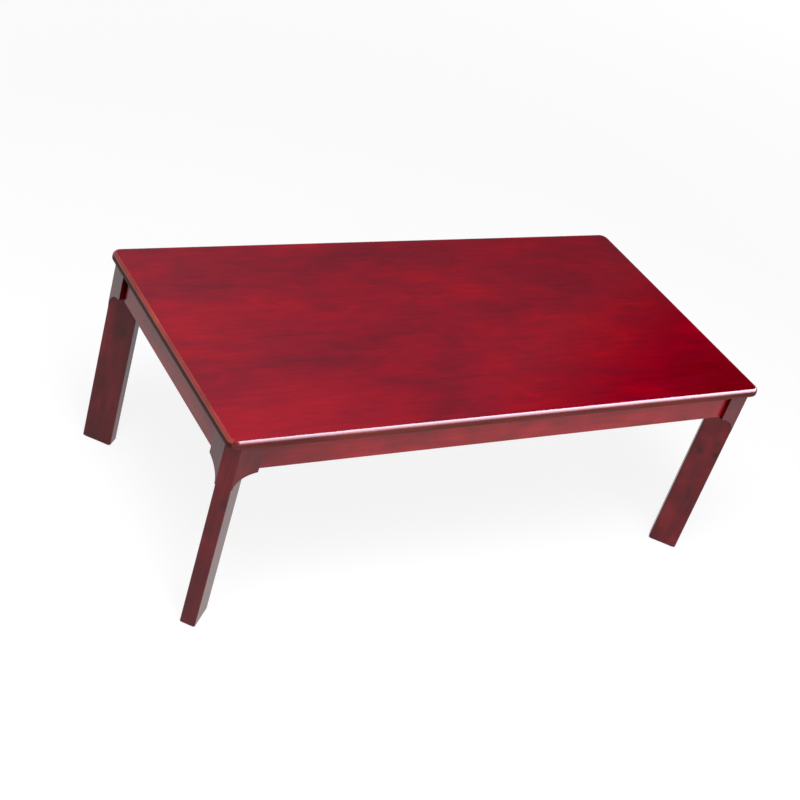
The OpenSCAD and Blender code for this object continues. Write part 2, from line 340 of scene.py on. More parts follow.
# %% [markdown]
# # Meshes from arrays
# Each piece is a lattice of points: its rows follow one parameter and its columns the other. The
# quads between them are the same arithmetic for every piece. A weighted-normal modifier lets the
# large flat faces stay flat to the eye beside their narrow roundings.

# %% Lattice helpers
def lattice_faces(rows, cols):
    """Quads of a lattice closed round its columns: (i, j), (i, j+1), (i+1, j+1), (i+1, j)."""
    i = np.arange(rows - 1)[:, None] * cols
    j = np.arange(cols)[None, :]
    k = (j + 1) % cols
    return np.stack([i + j, i + k, i + cols + k, i + cols + j], -1).reshape(-1, 4).tolist()


def tube_faces(rows, cols):
    """The lattice's quads and one face that closes each end."""
    last = (rows - 1) * cols
    return lattice_faces(rows, cols) + [list(range(cols))[::-1], [last + j for j in range(cols)]]


def finish_piece(made, slot, *nodes):
    """Smooth where it is round, sharp over 35 degrees, and standing for its CAD nodes on the root."""
    made.data.polygons.foreach_set("use_smooth", np.ones(len(made.data.polygons), bool))
    made.data.set_sharp_from_angle(angle=math.radians(35))
    weighted = made.modifiers.new("flat faces stay flat", "WEIGHTED_NORMAL")
    weighted.keep_sharp = True
    weighted.weight = 100
    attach(made, "root")
    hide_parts(*nodes)


def arc(x, y, r, start, end, steps):
    """Points of an arc: (x + r cos a, y + r sin a) for a from start to end, in degrees."""
    a = np.radians(np.linspace(start, end, steps + 1))
    return np.stack([x + r * np.cos(a), y + r * np.sin(a)], -1)


# %% [markdown]
# # The veneer of the top
# The top is faced with sliced mahogany-type veneer, stained crimson and sprayed with a clear lacquer
# that is rubbed to a soft gloss. The leaves come off one log and are laid side by side the same way
# round, so the log's one dark vein comes back one leaf further on. To the eye the top is an even
# crimson with cloudy maroon patches that run along the table, and fine grain lines. Noise that is
# stretched along X draws the clouds and the grain, and the vein is a distance folded once a leaf.

# %% Veneer material
LEAF_W = 206 * MM
# the vein of the front leaf at X = 0, its drift of 32 mm in 500 mm, and the width that it wanders over
VEIN_Y = 112 * MM
VEIN_SLOPE = 0.064
VEIN_WANDER = 24 * MM
# how much clouds, blotches and streaks count in the tone, and what is added to them
CLOUDS, BLOTCHES, STREAKS, TONE_BASE = 0.46, 0.27, 0.16, 0.055
# fields, each with its centre, reach, depth and colour: a dark one of heartwood behind the middle, two
# bright ones towards the left end that are painted light, and a deep one at the front right corner that
# is painted shade
HEARTWOOD_AND_PAINTED_LIGHT = (((-0.12, 0.20, 0), (0.26, 0.05, 1), 0.32, "#50101E"),
          ((-0.46, 0.06, 0), (0.07, 0.15, 1), 0.35, "#BC041E"),
          ((-0.38, -0.20, 0), (0.26, 0.10, 1), 0.66, "#B4061E"),
          ((0.46, -0.22, 0), (0.17, 0.11, 1), 0.75, "#780008"))


def stretched_noise(tree, place, per_metre, detail, roughness=0.5, distortion=0.0):
    """Noise whose cells measure one over per_metre along each axis. Its output runs from 0 to 1."""
    scaled = vector_math(tree, "MULTIPLY", place, per_metre)
    return add(tree, "TexNoise", {"Vector": scaled, "Scale": 1.0, "Detail": detail,
                                  "Roughness": roughness, "Distortion": distortion}).outputs["Fac"]


def blend(tree, kind, share, first, second):
    """Two colours joined in one of Blender's blend modes by a share from 0 to 1."""
    return add(tree, "Mix", {0: share, 6: first, 7: second}, data_type="RGBA",
               blend_type=kind).outputs[2]


def surface(tree, colour, roughness, **more):
    """The shader of a material and its output. More sockets are given with _ for each space."""
    feeds = {"Base Color": colour, "Roughness": roughness}
    feeds.update({socket.replace("_", " "): value for socket, value in more.items()})
    add(tree, "OutputMaterial", {"Surface": add(tree, "BsdfPrincipled", feeds).outputs[0]})


def lacquer(tree, colour, roughness, bump, coat_weight, coat_roughness, coat_ior=1.5):
    """Stained wood under a clear film. The film wets the wood, whose own gloss is gone, so the wood
    only scatters its colour and the film alone mirrors the room."""
    normals = {"Normal": bump, "Coat_Normal": bump} if bump else {}
    surface(tree, colour, roughness, Specular_IOR_Level=0.0, Coat_Weight=coat_weight,
            Coat_Roughness=coat_roughness, Coat_IOR=coat_ior, **normals)


def soft_patch(tree, place, centre, reach, depth):
    """depth at the centre of an ellipse, falling to 0 at its rim, which noise of mean 0.5 frays."""
    away = vector_math(tree, "DIVIDE", vector_math(tree, "SUBTRACT", place, centre), reach)
    noise = stretched_noise(tree, place, (12.0, 40.0, 1.0), 3.0)
    frayed = number_math(tree, "MULTIPLY_ADD", noise, 1.2, vector_math(tree, "LENGTH", away))
    return rescale(tree, frayed, 0.7, 1.7, depth, 0.0)


def veneer():
    """Crimson veneer, slip matched, under rubbed lacquer."""
    made, tree, place = new_material("crimson_veneer_sliced_and_lacquered")
    part = add(tree, "SeparateXYZ", {"Vector": place}).outputs
    # clouds some 200 mm long and 90 mm wide, blotches of 60 by 30 mm, and streaks 12 mm wide
    clouds = stretched_noise(tree, place, (5.0, 11.0, 1.0), 3.0, 0.55, 0.4)
    blotches = stretched_noise(tree, place, (16.0, 34.0, 1.0), 4.0, 0.6, 0.8)
    streaks = stretched_noise(tree, place, (5.0, 85.0, 1.0), 3.0, 0.6, 0.4)
    tone = TONE_BASE
    for layer, weight in ((clouds, CLOUDS), (blotches, BLOTCHES), (streaks, STREAKS)):
        tone = number_math(tree, "MULTIPLY_ADD", layer, weight, tone)
    base = ramp(tree, tone, (0.36, "#7C061E"), (0.47, "#90021E"), (0.54, "#9C001C"), (0.64, "#B0001A"))
    # one dark vein to each leaf: a thin core in a soft halo, gone a little past the middle of the table
    wave = stretched_noise(tree, place, (7.0, 1.0, 1.0), 2.0)
    offset = number_math(tree, "MULTIPLY_ADD", part["X"], VEIN_SLOPE, part["Y"])
    offset = number_math(tree, "MULTIPLY_ADD", wave, VEIN_WANDER, offset)
    offset = number_math(tree, "ADD", offset, LEAF_W / 2 - VEIN_Y - VEIN_WANDER / 2)
    folded = number_math(tree, "FLOORED_MODULO", offset, LEAF_W)
    away = number_math(tree, "ABSOLUTE", number_math(tree, "SUBTRACT", folded, LEAF_W / 2))
    core = rescale(tree, away, 0.5 * MM, 6 * MM, 0.10, 0.0)
    halo = rescale(tree, away, 2 * MM, 22 * MM, 0.14, 0.0)
    fade = rescale(tree, part["X"], -0.25, 0.12, 1.0, 0.0)
    vein = number_math(tree, "MULTIPLY", number_math(tree, "ADD", core, halo), fade)
    base = blend(tree, "MIX", vein, base, linear("#4A0E20"))
    # the heartwood field, and the painted light and painted shade of the other three
    for centre, reach, depth, colour in HEARTWOOD_AND_PAINTED_LIGHT:
        base = blend(tree, "MIX", soft_patch(tree, place, centre, reach, depth), base, linear(colour))
    # wavy pore lines some 70 mm long and 3 mm apart, which is as fine as this distance shows
    grain = stretched_noise(tree, place, (14.0, 330.0, 1.0), 3.0, 0.7, 0.8)
    lines = ramp(tree, grain, (0.36, 0.82), (0.50, 1.0), (0.66, 1.08))
    base = blend(tree, "MULTIPLY", 1.0, base, lines)
    rough = ramp(tree, blotches, (0.3, 0.42), (0.7, 0.55))
    lacquer(tree, base, rough, relief(tree, grain, 0.05, 0.2 * MM), coat_weight=1.0, coat_roughness=0.06)
    return made


VENEER = veneer()
print("veneer:", len(VENEER.node_tree.nodes), "nodes")

# %% [markdown]
# # The edge of the top
# The board is edged with solid strips. The upper rounding was sanded after staining, so it is thinner in
# colour, rose red on the long sides and tan at the ends, where the tan is a painted reflection of the
# room that a grazing look sees. It gets the thickest film when the top is sprayed flat, shines like
# glass and flashes under the bright card. The side and the rounding below it have a thin, dull film, and
# their
# russet and dark brown are painted shade: the dark line that the eye sees under the edge.

# %% Edge materials
def edging(name, long_sides, ends, coat_weight, coat_roughness, coat_ior):
    """Solid edging with soft patches in the stain, under a film of its own. The strips meet in
    mitres: a point is on an end strip where it is nearer to the end than to the long side."""
    made, tree, place = new_material(name)
    patches = stretched_noise(tree, place, (10.0, 10.0, 80.0), 3.0, 0.55)
    kinds = [ramp(tree, patches, *zip((0.32, 0.52, 0.72), tones)) for tones in (long_sides, ends)]
    lead = vector_math(tree, "DOT_PRODUCT", vector_math(tree, "ABSOLUTE", place), (1, -1, 0))
    on_end = number_math(tree, "GREATER_THAN", lead, float(HALF_L - HALF_W))
    colour = blend(tree, "MIX", on_end, *kinds)
    rough = ramp(tree, patches, (0.3, 0.38), (0.7, 0.52))
    lacquer(tree, colour, rough, None, coat_weight, coat_roughness, coat_ior)
    return made


# the tan of the end strips is a painted reflection of the room at a grazing look
TAN_PAINTED_REFLECTION = ("#8E3228", "#A83C30", "#BC4A3A")
ROSE = ("#641A1E", "#7A2226", "#8E2C2E")
# russet and dark brown: painted shade under the edge, on the lower edging
RUSSET_PAINTED_SHADE = ("#5E2420", "#74302A", "#863A32")
BROWN_PAINTED_SHADE = ("#3A140F", "#4C1A14", "#5E221A")
EDGE_UPPER = edging("edging_glazed_with_painted_reflection_on_the_ends", ROSE, TAN_PAINTED_REFLECTION, 1.0, 0.22, 1.7)
EDGE_LOWER_PAINTED_SHADE = edging("edging_thinly_sprayed_with_painted_shade", RUSSET_PAINTED_SHADE, BROWN_PAINTED_SHADE, 0.28, 0.35, 1.5)
print("edge materials")

# %% [markdown]
# # Frame timber
# Aprons and legs are solid wood, stained darker than the top and sprayed with the same lacquer. The
# stain took unevenly: there are soft maroon and reddish patches along the grain, and small dark
# knots on the legs. The grain runs along each piece, so the same recipe is made once for each axis.
# Faint knots are scattered by a cell pattern, and those that catch the eye are set by their place.
# A dark spot set by its place on the left end of the front apron is painted shade.

# %% Frame material
def frame_timber(name, along, tones, coat_weight, scattered=0.0, marks=()):
    """Stained solid wood with its grain along one axis, in three tones from dark to light. scattered
    is the strength of its faint knots, and each mark is a dark spot's centre, reach and strength: a knot
    on the legs, and painted shade on the front apron."""
    made, tree, place = new_material(name)
    # patches 140 mm long and 22 mm wide, and pores 50 mm long and 2.4 mm apart
    figure, fine = [45.0] * 3, [420.0] * 3
    figure[along], fine[along] = 7.0, 20.0
    patches = stretched_noise(tree, place, figure, 4.0, 0.6, 0.5)
    blotches = stretched_noise(tree, place, (20.0, 20.0, 20.0), 3.0, 0.5)
    tone = blend(tree, "MIX", 0.5, patches, blotches)
    colour = ramp(tree, tone, *zip((0.32, 0.50, 0.68), tones))
    spots = []
    if scattered:
        cells = add(tree, "TexVoronoi", {"Vector": place, "Scale": 15.0, "Randomness": 1.0})
        spots.append(rescale(tree, cells.outputs["Distance"], 0.04, 0.24, scattered, 0.0))
    # knots, and the painted shade of the front apron, in one dark colour
    for spot in spots + [soft_patch(tree, place, *mark) for mark in marks]:
        colour = blend(tree, "MIX", spot, colour, linear("#2A0C12"))
    grain = stretched_noise(tree, place, fine, 2.0, 0.6)
    lines = ramp(tree, grain, (0.30, 0.86), (0.55, 1.0), (0.75, 1.08))
    colour = blend(tree, "MULTIPLY", 1.0, colour, lines)
    rough = ramp(tree, blotches, (0.3, 0.40), (0.7, 0.55))
    lacquer(tree, colour, rough, relief(tree, grain, 0.08, 0.2 * MM), coat_weight,
            coat_roughness=0.18, coat_ior=1.45)
    return made


ALONG_X, ALONG_Y, ALONG_Z = 0, 1, 2
APRON_RED = ("#8A1A22", "#AE1C28", "#C42834")
LEG_RED = ("#521018", "#70121C", "#882028")
# a darker red for the wings' faces in the slot beside the aprons, which is painted shade
SLOT_RED_PAINTED_SHADE = ("#4E0A10", "#620C12", "#74121A")
# painted shade: a dark spot darkens the left end of the front apron, beside the leg and under the top
APRON_PAINTED_SHADE = (((-0.44, -0.2395, 0.326), (0.15, 1.0, 1.0), 0.42),)
# two knots and a smudge on the front right leg, and a broad smudge on the back left one
LEG_MARKS = (((0.4545, -0.2222, 0.216), (0.010, 0.010, 0.013), 0.70),
             ((0.4738, -0.2415, 0.218), (0.007, 0.007, 0.010), 0.95),
             ((0.4706, -0.2383, 0.241), (0.011, 0.011, 0.014), 0.50),
             ((-0.4746, 0.2069, 0.234), (0.016, 0.016, 0.026), 0.50))
APRON_X = frame_timber("rubberwood_apron_stained_along_x", ALONG_X, APRON_RED, 0.86, marks=APRON_PAINTED_SHADE)
APRON_Y = frame_timber("rubberwood_apron_stained_along_y", ALONG_Y, APRON_RED, 0.79)
LEG_Z = frame_timber("rubberwood_leg_stained_along_z", ALONG_Z, LEG_RED, 0.70, 0.35, LEG_MARKS)
WING_Z = frame_timber("rubberwood_wing_stained_along_z", ALONG_Z, LEG_RED, 0.95)
SLOT_Z_PAINTED_SHADE = frame_timber("rubberwood_unsprayed_with_painted_shade", ALONG_Z, SLOT_RED_PAINTED_SHADE, 0.0)
BACKING = frame_timber("backing_veneer_thinly_sprayed", ALONG_X, LEG_RED, 0.15)
print("frame timbers are mixed")

# %% [markdown]
# # The tabletop
# The board's edge is one profile: a rounding below, an upright side and a larger rounding above. It
# is carried round a rectangle with rounded corners, which is an arc at each corner with straight
# runs between. Rows climb the profile and columns go round, and a flat face closes the board above
# and below.

# %% Tabletop
LOWER_STEPS = 8
UPPER_STEPS = 12
UPPER_STEPS_IN_PAINTED_SHADE = 3
CORNER_STEPS = 14


def edge_profile():
    """Rows of (distance in from the edge, height): two arcs, with the upright side between them."""
    t = TOP_Z[1] - TOP_Z[0]
    lower = arc(-LOWER_ROUND, LOWER_ROUND, LOWER_ROUND, -90, 0, LOWER_STEPS)
    upper = arc(-UPPER_ROUND, t - UPPER_ROUND, UPPER_ROUND, 0, 90, UPPER_STEPS)
    return np.concatenate([lower, upper])


def carried_round(profile):
    """Profile points (reach, height) at each place of the rounded rectangle: corner centre plus
    (corner radius + reach) times (cos a, sin a), where a runs through a quarter at each corner."""
    quarter = np.repeat(np.arange(4), CORNER_STEPS + 1)
    a = np.radians(quarter * 90 + np.tile(np.linspace(0, 90, CORNER_STEPS + 1), 4))
    centre = np.stack([np.array([1, -1, -1, 1])[quarter] * (HALF_L - CORNER_R),
                       np.array([1, 1, -1, -1])[quarter] * (HALF_W - CORNER_R)], -1)
    reach = CORNER_R + profile[:, 0]
    around = np.stack([np.cos(a), np.sin(a)], -1)
    flat = centre[None] + reach[:, None, None] * around[None]
    height = np.broadcast_to(profile[:, 1, None, None], (*flat.shape[:2], 1))
    return np.concatenate([flat, height], -1)


def tabletop():
    """The board: veneer above, backing below, glazed edging on the upper rounding and dull edging
    under it, whose darker colour is painted shade."""
    points = carried_round(edge_profile()) + [0, 0, TOP_Z[0]]
    rows, cols = points.shape[:2]
    made = put_mesh("tabletop", points, tube_faces(rows, cols),
                    [EDGE_UPPER, EDGE_LOWER_PAINTED_SHADE, VENEER, BACKING])
    # numbers of the list above for all faces, of which the last two close the board below and above
    kinds = np.zeros(len(made.data.polygons), int)
    # the lower rounding, the side and the lowest steps of the upper rounding take the edging in painted
    # shade
    kinds[:(LOWER_STEPS + 1 + UPPER_STEPS_IN_PAINTED_SHADE) * cols] = 1
    kinds[-2:] = 3, 2
    made.data.polygons.foreach_set("material_index", kinds)
    finish_piece(made, "top_lacquer", "top_panel")


tabletop()

# %% [markdown]
# # Aprons
# An apron is a planed bar. Its lower edges are rounded and its ends just broken with sandpaper. The
# section is carried along its length, drawn in by the width of the broken edge at both ends.

# %% Aprons
APRON_ROUND = 2 * MM
BROKEN = 0.5 * MM


def bar_section(width, height, shrink):
    """Outline (y, z) of the bar round its middle, with roundings below and small ones above."""
    w, h = width / 2 - shrink, height / 2 - shrink
    low, high = APRON_ROUND, BROKEN
    corners = [arc(-w + low, -h + low, low, 180, 270, 6), arc(w - low, -h + low, low, 270, 360, 6),
               arc(w - high, h - high, high, 0, 90, 3), arc(-w + high, h - high, high, 90, 180, 3)]
    return np.concatenate(corners)


def apron(node, along, material):
    """A bar in the node's box, with its length along X or Y."""
    low, high = box_of(node)
    across = 1 - along
    size = high - low
    ends = np.array([0, BROKEN, size[along] - BROKEN, size[along]])
    section = np.array([bar_section(size[across], size[2], shrink) for shrink in (BROKEN, 0, 0, BROKEN)])
    points = np.zeros((*section.shape[:2], 3))
    points[..., along] = low[along] + ends[:, None]
    points[..., across] = (low[across] + high[across]) / 2 + section[..., 0] * (1 - 2 * along)
    points[..., 2] = (low[2] + high[2]) / 2 + section[..., 1]
    finish_piece(put_mesh(node + "_bar", points, tube_faces(*points.shape[:2]), [material]),
                 "frame_lacquer", node)


for node in ("apron_front", "apron_back"):
    apron(node, ALONG_X, APRON_X)
for node in ("apron_left", "apron_right"):
    apron(node, ALONG_Y, APRON_Y)
print("four aprons")

# %% [markdown]
# # Leg boards
# A leg is a straight board that stands on the corner's diagonal. Its long edges are rounded below
# the head and run out to square where the wings are glued on. The board's own directions are u, in
# along the diagonal, and v, across it, and one small function turns u, v and z into table space.

# %% Leg boards
LEG_ROUND = 2.5 * MM
FOOT_BROKEN = 0.6 * MM


def at_corner(u, v, z, corner):
    """(u, v, z) of a leg to table space: in from both edges, turned 45 degrees, then mirrored."""
    sx, sy = CORNERS[corner]
    root = math.sqrt(2)
    x = sx * (HALF_L - LEG_IN - (u - v) / root)
    y = sy * (HALF_W - LEG_IN - (u + v) / root)
    return np.stack([x + 0 * z, y + 0 * z, z + 0 * x], -1)


def outward(faces, corner, side=1):
    """Faces turned round where mirroring at the corner or the side would turn them inside out."""
    sx, sy = CORNERS[corner]
    return [face[::-1] for face in faces] if sx * sy * side < 0 else faces


def leg_board(corner):
    """Rounded rectangles stacked in z. The lowest one is drawn in, which breaks the foot's edge, and
    the rounding fades to almost nothing where the wings begin."""
    rows = [(FOOT_Z, LEG_ROUND, FOOT_BROKEN), (FOOT_Z + FOOT_BROKEN, LEG_ROUND, 0),
            (FOOT_Z + 40 * MM, LEG_ROUND, 0), (TIP_Z - 40 * MM, LEG_ROUND, 0),
            (TIP_Z - 8 * MM, LEG_ROUND, 0), (TIP_Z - 4 * MM, 1.6 * MM, 0), (TIP_Z, 0.6 * MM, 0),
            (TIP_Z + 1 * MM, 0.1 * MM, 0), (UNDER_TOP, 0.1 * MM, 0)]
    rings = []
    for z, r, drawn_in in rows:
        hu, hv = LEG_W / 2 - drawn_in - r, LEG_T / 2 - drawn_in - r
        ring = np.concatenate([arc(hu, hv, r, 0, 90, 5), arc(-hu, hv, r, 90, 180, 5),
                               arc(-hu, -hv, r, 180, 270, 5), arc(hu, -hv, r, 270, 360, 5)])
        rings.append(at_corner(ring[:, 0] + LEG_W / 2, ring[:, 1], np.array(z), corner))
    points = np.array(rings)
    faces = outward(tube_faces(*points.shape[:2]), corner)
    finish_piece(put_mesh("leg_" + corner, points, faces, [LEG_Z]), "frame_lacquer",
                 "leg_board_" + corner)


for corner in CORNERS:
    leg_board(corner)
print("four leg boards")

# %% [markdown]
# # Coved wings
# Two wings widen each leg's head to meet the aprons. Seen along the board a wing is a rectangle
# whose lower outer part is cut to a quarter circle. It is worked out as a stack of upright
# rectangles along u: from the board's side out to a 45 degree face, and from the cove up to the top.

# %% Wings
COVE_R = 30 * MM
COVE_TIP = 1.5 * MM
TIP_FLAT = 0.02 * MM


def wing(corner, side, node):
    """For each u: v reaches out from the board's side by the smaller of u and width less u, and by
    TIP_FLAT at least. z runs up to the top's underside from the cove, tip + sqrt(r ** 2 -
    (r + t - u) ** 2), where t is the thickness of the tip."""
    cove = COVE_TIP + COVE_R * (1 - np.cos(np.radians(np.linspace(7.5, 90, 23))))
    u = np.unique(np.array([0, COVE_TIP, *cove, LEG_W / 2, LEG_W]).round(7))
    rise = np.clip(COVE_R ** 2 - (COVE_R + COVE_TIP - u) ** 2, 0, None)
    low = TIP_Z + np.where(u >= COVE_R + COVE_TIP, COVE_R, np.sqrt(rise))
    wide = np.maximum(np.minimum(u, LEG_W - u), TIP_FLAT)
    v0 = np.full_like(u, LEG_T / 2)
    v = np.stack([v0, v0 + wide, v0 + wide, v0], -1)
    z = np.stack([low, low, np.full_like(u, UNDER_TOP), np.full_like(u, UNDER_TOP)], -1)
    points = at_corner(np.broadcast_to(u[:, None], v.shape), side * v, z, corner)
    rows, cols = points.shape[:2]
    made = put_mesh(node + "_shaped", points, outward(tube_faces(rows, cols), corner, side),
                    [WING_Z, SLOT_Z_PAINTED_SHADE])
    # the faces on the apron's side of the tip, which the spray didn't reach, have the second material,
    # whose darker red is painted shade in the slot
    row, col = np.divmod(np.arange((rows - 1) * cols), cols)
    inner = (u[row] > LEG_W / 2 - MM) & (col == 1)
    made.data.polygons.foreach_set("material_index", np.append(inner, [False, False]).astype(int))
    finish_piece(made, "frame_lacquer", node)


for corner in CORNERS:
    wing(corner, 1, "leg_wing_short_" + corner)
    wing(corner, -1, "leg_wing_long_" + corner)
print("eight wings")

# %% [markdown]
# # Turned and threaded parts
# Screws, bolts, nuts and washers are rolled, turned or stamped, so each is a radius that depends on
# the height along its axis and on the angle round it. A thread is a triangle wave of height / pitch
# less angle / full turn. The parts are set in place by turns alone, never by mirroring, because a
# mirrored thread would be left-handed.

# %% Turned parts
def angles(cols):
    """The angles of a closed row of columns, in radians."""
    return np.arange(cols) * 2 * np.pi / cols


def spun(radius, height):
    """Points (r cos a, r sin a, h) of a lattice whose columns go round the axis."""
    a = angles(radius.shape[1])
    return np.stack([radius * np.cos(a), radius * np.sin(a), height + 0 * radius], -1)


def thread(height, cols, pitch, depth, start, stop):
    """A thread's height over its core: depth times |2 frac(h / pitch - a / 2 pi) - 1|, which fades
    in and out over one pitch at both ends."""
    wave = np.abs(((height / pitch - angles(cols) / (2 * np.pi)) % 1) * 2 - 1)
    return depth * wave * np.clip(np.minimum(height - start, stop - height) / pitch, 0, 1)


def placed(points, at, axis):
    """Local points with their Z turned to run along axis, and moved to a place."""
    z = unit(np.asarray(axis, float))
    x = unit(np.cross([0, 0, 1], z)) if abs(z[2]) < 0.9 else np.array([1.0, 0, 0])
    return points[..., :1] * x + points[..., 1:2] * np.cross(z, x) + points[..., 2:] * z + at


def turned_piece(name, points, closed, places, material, slot, *nodes):
    """One mesh with a copy of the lattice at each (place, axis). Closed lattices are rings."""
    rows, cols = points.shape[:2]
    count = rows * cols
    one = lattice_faces(rows + 1, cols) if closed else tube_faces(rows, cols)
    faces = [[v % count + n * count for v in face] for n in range(len(places)) for face in one]
    copies = np.concatenate([placed(points, at, axis).reshape(-1, 3) for at, axis in places])
    finish_piece(put_mesh(name, copies, faces, [material]), slot, *nodes)


print("turned parts are ready")

# %% [markdown]
# # Materials of the hidden parts
# Fasteners come bright from the zinc bath: mirror-like between fine scratches, with a faint blue and
# yellow cast where the film is thin. Braces, cleats and the rail are pine with one thin matt coat of
# the same stain, and its hard latewood lines stay visible. Dowels are bare beech with short dark
# flecks, and the pads under the feet are grey-brown felt, a mat of crossed fibres.

# %% Zinc, pine, beech and felt
def zinc():
    """Zinc plating: a metal whose tint and gloss wander in spots of 3 mm."""
    made, tree, place = new_material("steel_plated_with_bright_zinc")
    spots = stretched_noise(tree, place, (330.0, 330.0, 330.0), 3.0)
    tint = ramp(tree, spots, (0.35, "#D3DAE2"), (0.5, "#DCDDDD"), (0.66, "#E2DCC8"))
    scratches = stretched_noise(tree, place, (2500.0, 300.0, 2500.0), 2.0)
    rough = ramp(tree, scratches, (0.35, 0.20), (0.65, 0.38))
    surface(tree, tint, rough, Metallic=1.0)
    return made


def turned_about_z(tree, place, turn):
    """A place turned about Z, in degrees, so that a pattern along X runs another way."""
    return add(tree, "VectorRotate", {"Vector": place, "Angle": math.radians(turn)},
               rotation_type="Z_AXIS").outputs[0]


def pine(name, turn):
    """Stained pine whose grain runs along X once the place is turned about Z, in degrees."""
    made, tree, place = new_material(name)
    place = turned_about_z(tree, place, turn)
    # growth rings 4 mm apart round a pith at Y = -70 mm and Z = 290 mm of the turned place
    off = vector_math(tree, "ADD", place, (0.0, 0.07, -0.29))
    rings = add(tree, "TexWave", {"Vector": off, "Scale": 78.0, "Distortion": 2.5, "Detail": 2.0,
                                  "Detail Scale": 0.25}, wave_type="RINGS", rings_direction="X",
                wave_profile="SAW").outputs["Fac"]
    fibres = stretched_noise(tree, place, (25.0, 600.0, 600.0), 2.0)
    wood = ramp(tree, rings, (0.0, "#85392C"), (0.75, "#732B20"), (1.0, "#581E16"))
    shade = ramp(tree, fibres, (0.3, 0.82), (0.6, 1.0))
    wood = blend(tree, "MULTIPLY", 1.0, wood, shade)
    rough = ramp(tree, rings, (0.0, 0.62), (1.0, 0.48))
    lacquer(tree, wood, rough, relief(tree, fibres, 0.2, 0.2 * MM), coat_weight=0.25,
            coat_roughness=0.45, coat_ior=1.45)
    return made


def beech():
    """Bare beech: pale, with flecks of 3 by 0.7 mm along Y."""
    made, tree, place = new_material("beech_turned_and_left_bare")
    flecks = stretched_noise(tree, place, (1500.0, 300.0, 1500.0), 2.0)
    wood = ramp(tree, flecks, (0.36, "#A87C50"), (0.5, "#C9A26B"), (0.7, "#D3AF7C"))
    rough = ramp(tree, flecks, (0.3, 0.6), (0.7, 0.75))
    surface(tree, wood, rough)
    return made


def felt():
    """Pressed felt: two crossed mats of fibres 0.4 mm wide, with a soft sheen."""
    made, tree, place = new_material("felt_pressed_grey_brown")
    mats = []
    for turn in (35, -50):
        way = turned_about_z(tree, place, turn)
        mats.append(stretched_noise(tree, way, (300.0, 2500.0, 1200.0), 3.0, 0.6, 0.8))
    fibres = blend(tree, "MIX", 0.5, *mats)
    colour = ramp(tree, fibres, (0.35, "#2A2224"), (0.5, "#3A3032"), (0.66, "#514548"))
    surface(tree, colour, 0.95, Sheen_Weight=0.3, Normal=relief(tree, fibres, 0.7, 0.3 * MM))
    return made


ZINC, BEECH, FELT = zinc(), beech(), felt()
print("zinc, beech and felt")

# %% Pine for the inner frame
PINE_TURNS = {"corner_brace_front_left": 45, "corner_brace_back_right": 45,
              "corner_brace_front_right": -45, "corner_brace_back_left": -45,
              "cleat_left": 90, "cleat_right": 90, "centre_rail": 90}
PINE_TURNS.update({"cleat_" + corner: 0 for corner in CORNERS})
PINES = {turn: pine("pine_stained_grain_turned_%d" % turn, turn) for turn in (0, 45, -45, 90)}
for node, turn in PINE_TURNS.items():
    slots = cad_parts[node].data.materials
    slots.clear()
    slots.append(PINES[turn])
print("pine on", len(PINE_TURNS), "nodes")

# %% [markdown]
# # Wood screws
# A countersunk screw is cold headed, and a punch leaves the cross in its head. The thread is rolled
# on and stands out from the core. The cross is drawn in polar form: on each arm the outline is the
# nearer of the arm's end and its side, and the arms' width is chosen so that its corners fall on
# columns 15 degrees apart.

# %% Screws
SCREW_R, SCREW_PITCH = 2 * MM, 1.8 * MM
HEAD_R, HEAD_H = 3.93 * MM, 2.6 * MM
SCREW_BITE = 10 * MM
SCREW_COLS = 24
SCREW_CORE, SCREW_THREAD = 1.38 * MM, 0.58 * MM
POINT_R = 0.3 * MM
CROSS_ARM = 2.2 * MM


def cross_outline(arm):
    """Radius of a cross with arms of one length: max of min(arm / cos, side / sin) and its twin."""
    side = arm * math.tan(math.radians(15))
    c = np.maximum(np.abs(np.cos(angles(SCREW_COLS))), 1e-6)
    s = np.maximum(np.abs(np.sin(angles(SCREW_COLS))), 1e-6)
    return np.maximum(np.minimum(arm / c, side / s), np.minimum(arm / s, side / c))


def screw(length):
    """Rows from the bottom of the cross, out over the head, down the cone and along the thread to
    the point. Heights run from the head into the wood."""
    cross = cross_outline(CROSS_ARM)
    ones = np.ones(SCREW_COLS)
    head = [(0.30 * cross, 1.7), (0.78 * cross, 1.3), (0.97 * cross, 0.05), (cross + 0.04 * MM, 0),
            (3.3 * MM * ones, 0), (3.85 * MM * ones, 0), (HEAD_R * ones, 0.06), (1.6 * MM * ones, 2.5)]
    start, tip = HEAD_H + 2.5 * MM, length - 2 * MM
    h = np.arange(HEAD_H, length - 0.01 * MM, SCREW_PITCH / 8)[:, None]
    core = np.minimum(SCREW_CORE, POINT_R + (length - h) * 0.5)
    r = core + thread(h, SCREW_COLS, SCREW_PITCH, SCREW_THREAD, start, length + SCREW_PITCH)
    r = np.minimum(r, SCREW_R - 0.03 * MM - np.clip(h - tip, 0, None) * 0.75)
    radius = np.concatenate([[row for row, _ in head], r, POINT_R * ones[None]])
    height = np.concatenate([[z * MM for _, z in head], h[:, 0], [length]])
    return spun(radius, height[:, None])


BRACE = box_of("corner_brace_front_left")
BRACE_T = 22 * MM
BOLT_Z = BRACE[:, 2].mean()
SCREW_MARGIN = 30 * MM
SCREW_SEAT = 5 * MM
SCREW_LIFT = 10 * MM


def cleat_screw_places():
    """Three screws along a long cleat and two along a short one, upwards from its lower face."""
    places = []
    for node in ["cleat_" + corner for corner in CORNERS] + ["cleat_left", "cleat_right"]:
        low, high = box_of(node)
        along = int(np.argmax(high - low))
        for x in np.linspace(low[along] + SCREW_MARGIN, high[along] - SCREW_MARGIN, 3 - along):
            at = np.array([*(low + high)[:2] / 2, low[2]])
            at[along] = x
            places.append((at, (0, 0, 1)))
    return places


